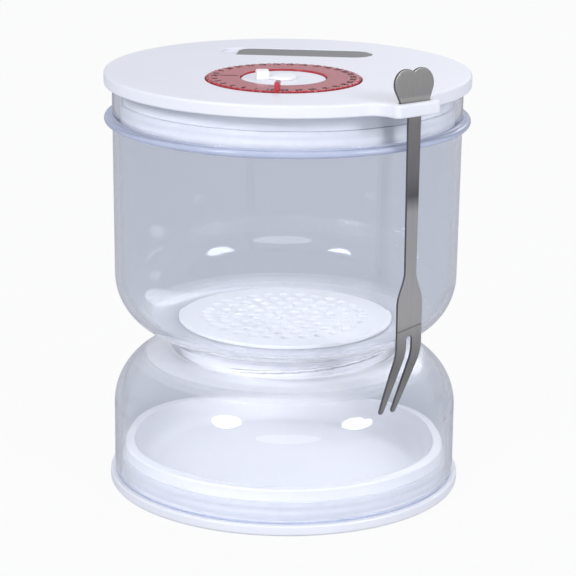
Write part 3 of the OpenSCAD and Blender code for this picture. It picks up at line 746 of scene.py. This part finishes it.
# The knurl cuts two round notches a day, as deep as a circle of radius knurl on the rim's edge reaches.
def knurl(r, z, angle):
    pitch = np.pi / dial["days"]
    across = ((angle + pitch / 2) % pitch - pitch / 2) * ringR
    depth = np.sqrt(np.clip(dial["knurl"] ** 2 - across ** 2, 0, None))
    return -depth * np.clip((r - ringR + dial["knurlFrom"]) / dial["knurlOver"], 0, 1)


ringIn, lipIn = hubR + dial["looseGap"], hubNeck + dial["runGap"]
profile = path([lipIn, ringLow], roundCorner(ringR, ringLow, dial["footEdge"], 270),
               roundCorner(ringR, ringTop, dial["edge"], 0, 5),
               roundCorner(ringIn, ringTop, dial["innerEdge"], 90),
               [ringIn, lipTop], [lipIn, lipTop])
ringSteps = 2 * dial["days"] * dial["notchSteps"]
dateRing = turned(fine(profile, dial["rowMm"]), ringSteps, centre=dialAt, bulge=knurl)
putPiece("dateRing", [dateRing], red, "dial", ["date_ring"])

tab = {"width": 2, "length": 5, "height": 2.9, "inset": 1.5, "corner": 0.6, "edge": 0.55}
tabY = dialAt[1] - ringR + tab["inset"] + tab["length"] / 2
tabLoop = oblong(tab["width"], tab["length"], tab["corner"], (0, tabY), 5)
fingerTab = slab(tabLoop, ringTop + hair, ringTop + tab["height"], 0, tab["edge"])
putPiece("fingerTab", fingerTab, red, "dial", [])

numbers = {"height": 3, "bold": 0.08, "spacing": 0.95, "curveSteps": 3, "radius": 25, "lead": 0.5,
           "thickness": 0.06, "index": (9, 0.35), "indexAt": 21, "indexCorner": 0.15}
printLow = ringTop + hair


def dayNumber(day):  # the number's mesh at its place on the ring; lead is how far it runs ahead, in days
    words = bpy.data.curves.new("day", "FONT")
    words.body, words.size, words.align_x, words.align_y = str(day), numbers["height"], "CENTER", "CENTER"
    words.extrude, words.offset = numbers["thickness"] / 2, numbers["bold"]
    words.resolution_u, words.space_character = numbers["curveSteps"], numbers["spacing"]
    holder = bpy.data.objects.new("day", words)
    flat = bpy.data.meshes.new_from_object(holder)
    co = np.zeros(len(flat.vertices) * 3)
    flat.vertices.foreach_get("co", co)
    co = co.reshape(-1, 3) + [0, numbers["radius"], printLow + numbers["thickness"] / 2]
    co = spun(co, 180 - 360 * (day + numbers["lead"]) / dial["days"]) + [*dialAt, 0]
    flat.calc_loop_triangles()
    triangles = np.zeros(len(flat.loop_triangles) * 3, int)
    flat.loop_triangles.foreach_get("vertices", triangles)
    bpy.data.objects.remove(holder)
    bpy.data.curves.remove(words)
    bpy.data.meshes.remove(flat)
    return co, triangles.reshape(-1, 3)


indexLoop = oblong(*numbers["index"], numbers["indexCorner"], (dialAt[0] - numbers["indexAt"], dialAt[1]), 3)
prints = [dayNumber(day) for day in range(1, dial["days"] + 1)]
prints += slab(indexLoop, printLow, printLow + numbers["thickness"], 0, hair)
putPiece("dayNumbers", prints, ink, "dial", ["day_marks"])

vent = {"stemEdge": 0.5, "capR": 4.5, "cap": 1.2, "capEdges": (0.2, 0.4), "steps": 96, "angle": 191,
        "tab": (4.7, 5, 3.2), "tabCorner": 0.7, "tabEdges": (0.2, 0.6),
        "strap": 5.5, "strapWidth": 3.6, "strapHeight": 0.9, "strapCorner": 0.6, "strapEdges": (0.1, 0.3),
        "intoCap": 0.9, "intoTab": 0.2}
stemR = ventR - dial["runGap"]
capR, capTop = vent["capR"], hubTop + vent["cap"]
ventFoot = cadMm("vent_plug")[0][2]
profile = path([0, ventFoot], roundCorner(stemR, ventFoot, vent["stemEdge"], 270, 4), [stemR, hubTop + hair],
               roundCorner(capR, hubTop + hair, vent["capEdges"][0], 270),
               roundCorner(capR, capTop, vent["capEdges"][1], 0, 5), [0, capTop])
tabX = capR + vent["strap"]
tabL, tabW, tabH = vent["tab"]
pullLoop = oblong(tabL, tabW, vent["tabCorner"], (tabX - tabL / 2, 0), 5)
tabBlock = slab(pullLoop, hubTop + 1.5 * hair, hubTop + tabH, *vent["tabEdges"])
strapFrom, strapTo = capR - vent["intoCap"], tabX - tabL + vent["intoTab"]
strapMiddle = ((strapFrom + strapTo) / 2, 0)
strapLoop = oblong(strapTo - strapFrom, vent["strapWidth"], vent["strapCorner"], strapMiddle, 3)
strap = slab(strapLoop, hubTop + 2 * hair, hubTop + vent["strapHeight"], *vent["strapEdges"])
arm = [(spun(verts, vent["angle"]) + [*dialAt, 0], faces) for verts, faces in tabBlock + strap]
ventStem = turned(profile, vent["steps"], False, dialAt)
putPiece("ventPlug", [ventStem] + arm, whiteSilicone, "vent", ["vent_plug"])


# fork: one sheet outline, rounded at its edges, then bent: the head leans back, the tines turn in and aside

fork = {"thickness": 1.2, "neckTop": 5.8, "neck": 5, "blade": 11.2, "neckLength": 71.5, "flare": 12,
        "bladeLength": 14.5, "tines": 27, "tineSide": 4, "tineBend": 6.6, "bendRadius": 25, "slot": 2.4,
        "slotRise": 1.6, "tipSpan": 7.4, "tip": 1.9, "taper": 1.4, "headBase": 13, "baseCorner": 0.6,
        "step": 0.9, "heart": (17.4, 11.4), "lobe": 0.31, "lean": 6, "edge": 0.35, "sharp": 45,
        "outlineStep": 1.2, "meshSize": 1.3, "meshGap": 0.5, "shadedEdgeBelow": 0.6, "curveSteps": 14,
        "lobeSteps": 26}
forkTop = lidTop - lid["seatDepth"]
bendAt = fork["neckLength"] + fork["bladeLength"]
tipAt = bendAt + fork["tines"]
heartW, heartH = fork["heart"]
lobe = heartW * fork["lobe"]
lobeX, lobeV = heartW / 2 - lobe, -(fork["step"] + heartH - lobe)
notchA = math.degrees(math.acos(lobeX / lobe))
sideLean = math.degrees(math.atan2((heartW - fork["headBase"]) / 2, heartH - lobe))
share = np.linspace(0, 1, fork["curveSteps"] + 1)
swell = (1 - np.cos(np.pi * share)) / 2
flareLine = np.stack([(fork["neck"] + (fork["blade"] - fork["neck"]) * swell) / 2,
                      fork["neckLength"] - fork["flare"] + fork["flare"] * share], 1)
taper = share ** fork["taper"]
outerTine = np.stack([(fork["blade"] + (fork["tipSpan"] - fork["blade"]) * taper) / 2,
                      bendAt + fork["tines"] * share], 1)
slotR, slotFrom, slotEnd = fork["slot"] / 2, bendAt - fork["slotRise"], fork["tipSpan"] / 2 - fork["tip"]
innerTine = np.stack([slotR + (slotEnd - slotR) * taper, slotFrom + (tipAt - slotFrom) * share], 1)
tipMid, tipR = (fork["tipSpan"] / 2 + slotEnd) / 2, fork["tip"] / 2
baseHalf, baseCorner = fork["headBase"] / 2, fork["baseCorner"]
halfSheet = path(arc(lobeX, lobeV, lobe, -180 + notchA, sideLean, fork["lobeSteps"])[1:],
                 [baseHalf, -fork["step"]],
                 arc(baseHalf - baseCorner, -baseCorner, baseCorner, 0, 90, 4), [fork["neckTop"] / 2, 0],
                 flareLine, outerTine[:-2], arc(tipMid, tipAt - tipR, tipR, 10, 170, 8), innerTine[::-1][2:],
                 arc(0, slotFrom, slotR, 0, -90, 6)[1:-1])
slotTop = np.array([[0, slotFrom - slotR]])
notch = np.array([[0, lobeV - lobe * math.sin(math.radians(notchA))]])
sheet = fine(np.concatenate([notch, halfSheet, slotTop, halfSheet[::-1] * [-1, 1]]), fork["outlineStep"])

# Below the bend the sheet follows an arc and then its tangent, so that the tips come in by tineBend.
tineR = fork["bendRadius"]
reach = math.hypot(fork["tines"], tineR - fork["tineBend"])
fullTurn = math.atan2(fork["tines"], tineR - fork["tineBend"]) - math.acos(tineR / reach)


def bendFork(points):  # sheet (across, down, out of the sheet) to its place on the lid
    u, v, w = points.T
    lean = math.radians(fork["lean"])
    up = np.clip(-fork["step"] - v, 0, None)
    down = np.clip(v - bendAt, 0, None)
    turn = np.minimum(np.arcsin(np.clip(down / tineR, 0, 1)), fullTurn)
    run = (down - tineR * np.sin(turn)) / np.cos(turn)
    leans = up > 0
    out = np.where(leans, w * math.cos(lean) - up * math.sin(lean),
                   (tineR + w) * np.cos(turn) - tineR - run * np.sin(turn))
    rise = np.where(leans, fork["step"] + up * math.cos(lean) + w * math.sin(lean),
                    -np.minimum(v, bendAt) - (tineR + w) * np.sin(turn) - run * np.cos(turn))
    inward = tineR * (1 - np.cos(turn)) + run * np.sin(turn)
    across = u - fork["tineSide"] * inward / fork["tineBend"]
    return spun(np.stack([forkR + out, across, forkTop + rise], 1), holderTurn)


gridU, gridV = np.meshgrid(np.arange(-heartW / 2, heartW / 2, fork["meshSize"]),
                           np.arange(-fork["step"] - heartH, tipAt, fork["meshSize"]))
spare = np.stack([gridU.ravel(), gridV.ravel()], 1)
loop = sheet if np.cross(sheet, np.roll(sheet, -1, 0)).sum() > 0 else sheet[::-1]
innerLoop = inset(loop, fork["edge"])
away = np.linalg.norm(spare[:, None] - innerLoop[None], axis=2).min(1)
spare = spare[inside(spare, innerLoop) & (away > fork["meshGap"])]
halfT = fork["thickness"] / 2
parts = [wall(loop, roundEdge(-halfT, halfT, fork["edge"], fork["edge"], 4)),
         cap([innerLoop], -halfT, spare), cap([innerLoop], halfT, spare)]
outwards = spun([[1, 0]], holderTurn)[0]
pickleFork = [(bendFork(verts), faces) for verts, faces in parts]
# the side faces get the edge material with its painted shade
putPiece("pickleFork", pickleFork, steel, "fork", ["fork"], fork["sharp"],
         [(sheared, lambda at, normals: np.abs(normals[:, :2] @ outwards) < fork["shadedEdgeBelow"])])


# stage: pale floor that turns white for the camera but keeps its shadow, soft lamps, camera

stageLook = {"floor": "#C9CBD1", "sky": "#C3C5CD", "glow": 0.93, "throughGlass": 0.13, "floorSize": 12,
             "floorDrop": 0.0002, "rough": 0.9}  # lengths of the stage are in metres


# How much of the white backdrop a ray sees: all of it from the camera, a part by way of glass and metal.
def backdropShare(tree):
    rays = addNode(tree, "ShaderNodeLightPath").outputs
    bent = addNode(tree, "ShaderNodeMath", {0: rays["Is Glossy Ray"], 1: rays["Is Transmission Ray"]},
                   operation="MAXIMUM")
    part = addNode(tree, "ShaderNodeMath", {0: bent.outputs[0], 1: stageLook["throughGlass"]},
                   operation="MULTIPLY")
    seen = addNode(tree, "ShaderNodeMath", {0: rays["Is Camera Ray"], 1: part.outputs[0]},
                   operation="MAXIMUM")
    return seen.outputs[0]


half = stageLook["floorSize"] / 2
corners = [(-half, -half, 0), (half, -half, 0), (half, half, 0), (-half, half, 0)]
floorMesh = bpy.data.meshes.new("floor")
floorMesh.from_pydata(corners, [], [(0, 1, 2, 3)])
floor = bpy.data.objects.new("floor", floorMesh)
floor.location.z = -stageLook["floorDrop"]
bpy.context.scene.collection.objects.link(floor)
paper = bpy.data.materials.new("paleFloor")
paper.use_nodes = True
tree = paper.node_tree
shader = tree.nodes["Principled BSDF"]
setSockets(tree, shader, {"Base Color": linear(stageLook["floor"]), "Roughness": stageLook["rough"],
                          "Specular IOR Level": 0})
lit = addNode(tree, "ShaderNodeMath", {0: backdropShare(tree), 1: stageLook["glow"]}, operation="MULTIPLY")
glow = addNode(tree, "ShaderNodeEmission", {"Strength": 1})
mixed = addNode(tree, "ShaderNodeMixShader", {0: lit.outputs[0], 1: shader.outputs[0], 2: glow.outputs[0]})
setSockets(tree, tree.nodes["Material Output"], {"Surface": mixed.outputs[0]})
floorMesh.materials.append(paper)

world = bpy.data.worlds.new("studio")
bpy.context.scene.world = world
world.use_nodes = True
tree = world.node_tree
tones = {"Factor": backdropShare(tree), "A": linear(stageLook["sky"]), "B": (1, 1, 1, 1)}
tone = addNode(tree, "ShaderNodeMix", tones, data_type="RGBA")
setSockets(tree, tree.nodes["Background"], {"Color": tone.outputs["Result"]})

lampsAim = Vector((0, 0, 0.09))
lamps = {"frontLeft": ((-0.75, -0.95, 0.85), (0.45, 0.6), 7.6),  # place, size and power
         "frontRight": ((1.06, -0.66, 0.7), (0.5, 0.5), 5.6),
         "frontLow": ((0.2, -1.5, 0.35), (1.2, 0.5), 3.4),
         "back": ((0.3, 1.3, 0.8), (0.9, 0.6), 2.8)}
for name, (place, size, power) in lamps.items():
    light = bpy.data.lights.new(name, "AREA")
    light.shape, light.size, light.size_y, light.energy = "ELLIPSE", *size, power
    lamp = bpy.data.objects.new(name, light)
    lamp.location = place
    lamp.visible_glossy = name != "frontLow"  # this one only fills and leaves no highlight
    lamp.rotation_euler = (lampsAim - Vector(place)).to_track_quat("-Z", "Y").to_euler()
    bpy.context.scene.collection.objects.link(lamp)

# camera solved from the outlines of the lid, walls, waist and base; the angles are in degrees
view = {"distance": 0.84315, "height": 0.31229, "azimuth": 5, "pitch": 15.787, "yaw": -0.062, "roll": 0.658,
        "lens": 145.47, "sensor": 36, "clip": (0.05, 30)}


def turnAbout(degrees, axis):
    return Matrix.Rotation(math.radians(degrees), 4, axis)


camera = bpy.data.objects.new("camera", bpy.data.cameras.new("camera"))
camera.data.lens, camera.data.sensor_width = view["lens"], view["sensor"]
camera.data.clip_start, camera.data.clip_end = view["clip"]
camera.matrix_world = (turnAbout(view["azimuth"], "Z")
                       @ Matrix.Translation((0, -view["distance"], view["height"]))
                       @ turnAbout(view["yaw"], "Z") @ turnAbout(90 - view["pitch"], "X")
                       @ turnAbout(view["roll"], "Z"))
bpy.context.scene.collection.objects.link(camera)
bpy.context.scene.camera = camera
bpy.context.scene.view_settings.view_transform = "Standard"
print("stage set")

bpy.context.view_layer.update()
